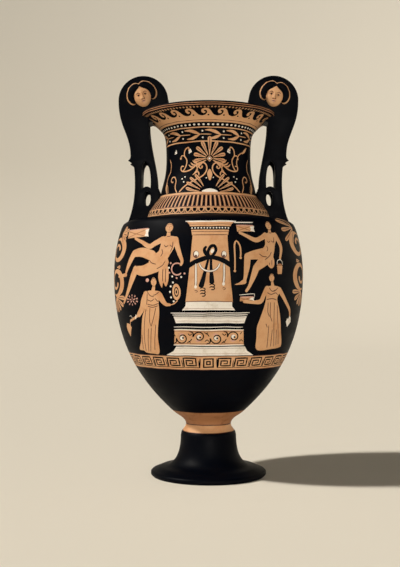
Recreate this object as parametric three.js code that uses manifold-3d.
// Red-figure volute krater with mask handles, thrown and modelled in clay and fired as one piece.
// Millimetres, +Z up. The origin is the centre of the foot's underside, the painted front faces -Y
// and the two handles stand at +X and -X.
import * as THREE from "three";
import { mergeVertices } from "three/addons/utils/BufferGeometryUtils.js";
import Module from "manifold-3d";

// ---- Driving dimensions -------------------------------------------------------------------------

const ROUND_STEPS = 40; // facets round the pot
const WALL = 9; // thrown wall, measured square to the surface

// Foot: a flat disc with a ring cut in its edge, and a flaring stem that is hollow underneath
const FOOT_RADIUS = 120;
const FOOT_RING_INNER = 97; // the flat ring that it stands on runs from here to near the edge
const FOOT_TOP = 21;
const STEM_RADIUS = 57.8;
const STEM_TOP = 84;
const RECESS_RADIUS = 46;
const RECESS_TOP = 90;

// Bowl, shoulder and neck, as radius and height
const WAIST = { radius: 46.8, height: 106 };
const BOWL_START = { radius: 73.5, height: 133 };
const BELLY = { radius: 197.4, height: 419 };
const SHOULDER_EDGE = { radius: 179.6, height: 518 };
const COLLAR = { radius: 130, height: 534 }; // foot of the steep collar between shoulder and neck
const NECK_BASE = { radius: 103, height: 577 };
const NECK = { radius: 88.2, height: 660 };
const NECK_TOP = { radius: 94, height: 712 };
const FLOOR_HEIGHT = 125; // inside floor of the bowl, on the axis

// Lip: a flaring underside and an upright band round the edge
const LIP_RADIUS = 140;
const LIP_UNDER = 744;
const LIP_TOP = 755;
const LIP_INNER = 124;

// Handles: two flanges in profile, front and back, joined by a strap along the outer edge
const FLANGE_OUTER_Y = 32; // outer face of a flange, from the middle of the handle
const FLANGE_THICKNESS = 10;
const STRAP_INSET = 6; // the strap and the drum that it rolls into lie this far below the flanges' edge
const STRAP_THICKNESS = 8;
const VOLUTE = { x: 135, z: 777.5, radius: 51.5 };
const DISC_END_ANGLE = 1.324 * Math.PI; // the discs end in the lip, just inside the mouth
const STRUT_TOP = { x: 124, z: 745 }; // inner edge of the flanges where they leave the lip
const SPUR = { x: 166.5, z: 653 };
const ROOT_OUTER = { x: 168, z: 522 }; // the root follows shoulder and collar and ends inside their wall
const ROOT_UNDER = { x: 122, z: 532 };
const ROOT_INNER = { x: 108, z: 564 };
const SMALL_WINDOW = { x: 126.5, z: 574, halfWidth: 7, halfHeight: 15 }; // the eye beside the swan's neck
const HEAD_TIP = { x: 100, z: 583 }; // swan's head at the foot of the inner strut

// Masks: a head in relief on each disc, front and back
const MASK = { x: 137, z: 786, faceHalfWidth: 18.5, faceHalfHeight: 24, relief: 12 };
const HAIR_LOCK = { halfLength: 19, halfWidth: 8.5, relief: 12, tilt: 0.62 };

// ---- Solids -------------------------------------------------------------------------------------

const wasm = await Module();
wasm.setup();

/** A closed three.js geometry as a solid, with its shared vertices merged and pole slivers dropped. */
function solidFrom(geometry) {
  const bare = geometry.clone();
  for (const name of Object.keys(bare.attributes)) {
    if (name !== "position") bare.deleteAttribute(name);
  }
  const merged = mergeVertices(bare, 1e-3);
  const corners = merged.index.array;
  const kept = [];
  for (let i = 0; i < corners.length; i += 3) {
    const [a, b, c] = corners.slice(i, i + 3);
    if (a !== b && b !== c && c !== a) kept.push(a, b, c);
  }
  const vertProperties = new Float32Array(merged.attributes.position.array);
  return new wasm.Manifold(new wasm.Mesh({ numProp: 3, vertProperties, triVerts: new Uint32Array(kept) }));
}

/** A solid back as a three.js geometry. */
function geometryFrom(solid) {
  const mesh = solid.getMesh();
  const geometry = new THREE.BufferGeometry();
  geometry.setAttribute("position", new THREE.BufferAttribute(mesh.vertProperties, 3));
  geometry.setIndex(new THREE.BufferAttribute(mesh.triVerts, 1));
  geometry.computeVertexNormals();
  return geometry;
}

const point = (x, y) => new THREE.Vector2(x, y);

/** Points of a cubic curve through (x, y) pairs, without its first point, so that runs can be chained. */
function bend(steps, from, controlA, controlB, to) {
  const curve = new THREE.CubicBezierCurve(point(...from), point(...controlA), point(...controlB), point(...to));
  return curve.getPoints(steps).slice(1);
}

/** Points on an arc of an ellipse, from one angle to another, counterclockwise when the end is larger. */
function arc(steps, centre, radiusX, radiusY, fromAngle, toAngle) {
  return Array.from({ length: steps + 1 }, (_, i) => {
    const angle = fromAngle + ((toAngle - fromAngle) * i) / steps;
    return point(centre.x + radiusX * Math.cos(angle), centre.z + radiusY * Math.sin(angle));
  });
}

/** A run of points moved square to itself by a distance, to its left as one walks along it. */
function offsetRun(run, distance) {
  return run.map((p, i) => {
    const before = run[Math.max(i - 1, 0)];
    const after = run[Math.min(i + 1, run.length - 1)];
    const along = after.clone().sub(before).normalize();
    return point(p.x - along.y * distance, p.y + along.x * distance);
  });
}

/** A solid of revolution about Z from a profile of (radius, height) points that starts and ends on it. */
function turned(profile) {
  return solidFrom(new THREE.LatheGeometry(profile, ROUND_STEPS).rotateX(Math.PI / 2));
}

/** A plate whose outline lies in the (x, z) plane, from one y to another. */
function plate(shape, fromY, toY) {
  const geometry = new THREE.ExtrudeGeometry(shape, { depth: toY - fromY, bevelEnabled: false });
  return solidFrom(geometry.rotateX(Math.PI / 2).translate(0, toY, 0));
}

// ---- Pot ----------------------------------------------------------------------------------------

/** The foot from its standing ring round the edge and up the stem to the waist. */
function footProfile() {
  const edge = [
    point(FOOT_RADIUS - 3, 0),
    point(FOOT_RADIUS, 3),
    point(FOOT_RADIUS, 8),
    point(FOOT_RADIUS - 3, 11),
    point(FOOT_RADIUS - 6, 12),
    point(FOOT_RADIUS - 20, FOOT_TOP - 3),
    point(FOOT_RADIUS - 36, FOOT_TOP),
  ];
  const top = [FOOT_RADIUS - 36, FOOT_TOP];
  const stem = bend(6, top, [STEM_RADIUS + 10, 27], [STEM_RADIUS, 47], [STEM_RADIUS, STEM_TOP]);
  const waist = [WAIST.radius, WAIST.height];
  const crown = bend(3, [STEM_RADIUS, STEM_TOP], [STEM_RADIUS, 94], [WAIST.radius, 96], waist);
  return [point(FOOT_RING_INNER, 0), ...edge, ...stem, ...crown];
}

/** The outside of bowl, shoulder and neck, from just above the waist to the ledge under the lip. */
function bodyProfile() {
  const start = [BOWL_START.radius, BOWL_START.height];
  const belly = [BELLY.radius, BELLY.height];
  const edge = [SHOULDER_EDGE.radius, SHOULDER_EDGE.height];
  const collar = [COLLAR.radius, COLLAR.height];
  const neckBase = [NECK_BASE.radius, NECK_BASE.height];
  const neckStart = [NECK_BASE.radius - 3, NECK_BASE.height + 7];
  const neck = [NECK.radius, NECK.height];
  const neckTop = [NECK_TOP.radius, NECK_TOP.height];
  return [
    point(...start),
    ...bend(9, start, [166, 217], [BELLY.radius, 305], belly),
    ...bend(4, belly, [BELLY.radius, 458], [187.5, 502], edge),
    ...bend(5, edge, [174.5, 528.5], [150, 530], collar),
    ...bend(3, collar, [128, 548], [115, 564], neckBase),
    ...bend(4, neckStart, [95.5, 612], [NECK.radius, 616], neck),
    ...bend(2, neck, [NECK.radius, 688], [89.5, 703], neckTop),
  ];
}

/** The flaring underside of the lip. */
function lipProfile() {
  const ledge = [NECK_TOP.radius + 4, NECK_TOP.height + 6];
  return [point(...ledge), ...bend(3, ledge, [107, 727], [120, 741], [LIP_RADIUS - 4, LIP_UNDER])];
}

/** The whole pot without its cavity: outside surface, with the hollow under the foot. */
function potOutside() {
  const recess = [
    point(0, RECESS_TOP),
    point(RECESS_RADIUS - 14, RECESS_TOP - 4),
    point(RECESS_RADIUS, RECESS_TOP - 22),
    point(RECESS_RADIUS + 6, 38),
    point(RECESS_RADIUS + 22, 15),
    point(FOOT_RING_INNER - 5, 8),
  ];
  const waist = [WAIST.radius, WAIST.height];
  const bowlFoot = bend(3, waist, [WAIST.radius, 119], [63.5, 124], [BOWL_START.radius, BOWL_START.height]);
  const lipEdge = [
    point(LIP_RADIUS - 1, LIP_UNDER),
    point(LIP_RADIUS, LIP_UNDER + 2),
    point(LIP_RADIUS, LIP_TOP - 3),
    point(LIP_RADIUS - 3, LIP_TOP),
    point(0, LIP_TOP),
  ];
  const body = bodyProfile().slice(1);
  return turned([...recess, ...footProfile(), ...bowlFoot, ...body, ...lipProfile(), ...lipEdge]);
}

/** The space inside: the pot's own walls moved inwards by their thickness, open through the mouth. */
function potCavity() {
  const outside = [...bodyProfile(), ...lipProfile()].filter((_, i) => i % 2 === 0);
  const wallLine = offsetRun(outside, WALL).slice(0, -1);
  const [firstWall] = wallLine;
  const floor = bend(3, [0, FLOOR_HEIGHT], [36, FLOOR_HEIGHT], [56, 131], [firstWall.x, firstWall.y]);
  const mouth = [point(LIP_INNER, LIP_TOP - 4), point(LIP_INNER + 1, LIP_TOP + 1), point(0, LIP_TOP + 1)];
  return turned([point(0, FLOOR_HEIGHT), ...floor, ...wallLine.slice(1), ...mouth]);
}

// ---- Handles ------------------------------------------------------------------------------------

/** The handle's outer edge from its root on the shoulder, past the spur, to the side of the volute. */
function handleOuterEdge() {
  const root = [ROOT_OUTER.x, ROOT_OUTER.z];
  const underSpur = [154, 638];
  const spur = [SPUR.x, SPUR.z];
  const overSpur = [161.5, 664];
  const side = [VOLUTE.x + VOLUTE.radius, VOLUTE.z];
  return [
    point(...root),
    ...bend(5, root, [155, 550], [149, 592], underSpur),
    ...bend(2, underSpur, [156, 645], [160, 650], spur),
    ...bend(2, spur, [162, 656], [161, 660], overSpur),
    ...bend(5, overSpur, [162, 708], [VOLUTE.x + VOLUTE.radius, 722], side),
  ];
}

/** The outline of one flange: outer edge, volute, inner strut with the swan's head, and the root. */
function flangeShape() {
  const disc = arc(28, VOLUTE, VOLUTE.radius, VOLUTE.radius, 0, DISC_END_ANGLE).slice(1);
  const strutTop = [STRUT_TOP.x, STRUT_TOP.z];
  const strutFoot = [106.5, 601];
  const inner = [
    ...bend(6, strutTop, [126, 690], [106.5, 645], strutFoot),
    ...bend(2, strutFoot, [104, 596], [HEAD_TIP.x, 592], [HEAD_TIP.x, HEAD_TIP.z]),
    ...bend(1, [HEAD_TIP.x, HEAD_TIP.z], [HEAD_TIP.x, 575], [104, 570], [ROOT_INNER.x, ROOT_INNER.z]),
    point(ROOT_UNDER.x, ROOT_UNDER.z),
  ];
  const shape = new THREE.Shape([...handleOuterEdge(), ...disc, point(...strutTop), ...inner]);
  const tall = new THREE.Path(
    [
      ...bend(3, [120, 596], [126, 601], [132, 600], [139, 593]),
      ...bend(4, [139, 593], [138, 625], [140, 645], [131, 652]),
      ...bend(4, [131, 652], [121, 645], [118, 618], [120, 596]),
    ].reverse(),
  );
  const small = new THREE.Path(arc(12, SMALL_WINDOW, SMALL_WINDOW.halfWidth, SMALL_WINDOW.halfHeight, 2 * Math.PI, 0).slice(1));
  shape.holes.push(tall, small);
  return shape;
}

/** The strap that joins the two flanges just below their outer edge. */
function strapShape() {
  const edge = handleOuterEdge().filter((p) => p.distanceTo(point(SPUR.x, SPUR.z)) > 12);
  const outer = offsetRun(edge, STRAP_INSET);
  const inner = offsetRun(edge, STRAP_INSET + STRAP_THICKNESS);
  return new THREE.Shape([...outer, ...inner.reverse()]);
}

/** One mask in low relief, looking along -Y: a face between two locks of parted hair, with its nose. */
function mask() {
  const face = new THREE.SphereGeometry(1, 12, 8);
  face.scale(MASK.faceHalfWidth, MASK.relief, MASK.faceHalfHeight);
  const nose = new THREE.ConeGeometry(4.2, 15, 4).scale(1, 1, 0.9).rotateX(Math.PI / 2);
  nose.translate(0, -MASK.relief - 0.2, -2);
  let head = solidFrom(face).add(solidFrom(nose));
  for (const side of [-1, 1]) {
    const lock = new THREE.SphereGeometry(1, 10, 6);
    lock.scale(HAIR_LOCK.halfLength, HAIR_LOCK.relief, HAIR_LOCK.halfWidth);
    lock.rotateY(side * HAIR_LOCK.tilt);
    lock.translate(side * 15.5, 0, 16);
    const curl = new THREE.SphereGeometry(1, 8, 6);
    curl.scale(6.5, HAIR_LOCK.relief - 2, 11);
    curl.translate(side * 25, 0, 2);
    head = head.add(solidFrom(lock)).add(solidFrom(curl));
  }
  return head.translate([MASK.x, -FLANGE_OUTER_Y, MASK.z]);
}

/** The handle at +X: both flanges, the strap, the volute's drum and a mask on each side. */
function handle() {
  const innerY = FLANGE_OUTER_Y - FLANGE_THICKNESS;
  const flange = flangeShape();
  const front = plate(flange, -FLANGE_OUTER_Y, -innerY);
  const back = plate(flange, innerY, FLANGE_OUTER_Y);
  const strap = plate(strapShape(), -innerY - 1, innerY + 1);
  const drumGeometry = new THREE.CylinderGeometry(
    VOLUTE.radius - STRAP_INSET, VOLUTE.radius - STRAP_INSET, 2 * innerY + 2, 28,
  );
  const drum = solidFrom(drumGeometry.translate(VOLUTE.x, 0, VOLUTE.z));
  const relief = mask();
  const discBack = relief.mirror([0, 1, 0]);
  return front.add(back).add(strap).add(drum).add(relief).add(discBack);
}

// ---- Krater -------------------------------------------------------------------------------------

/** A handle trimmed flush with the inside of the wall that its roots are pressed into. */
function trimmed(solid, cavity) {
  const belowLip = new THREE.BoxGeometry(3 * BELLY.radius, 3 * BELLY.radius, NECK_TOP.height);
  const rooted = solidFrom(belowLip.translate(0, 0, NECK_TOP.height / 2));
  return solid.subtract(cavity.intersect(rooted));
}

const cavity = potCavity();
const rightHandle = trimmed(handle(), cavity);
const leftHandle = rightHandle.rotate([0, 0, 180]);
const krater = potOutside().subtract(cavity).add(rightHandle).add(leftHandle);

const group = new THREE.Group();
const clay = new THREE.MeshStandardMaterial({ color: 0x15130f, roughness: 0.35, metalness: 0 });
const mesh = new THREE.Mesh(geometryFrom(krater), clay);
mesh.name = "krater";
group.add(mesh);

export default group;
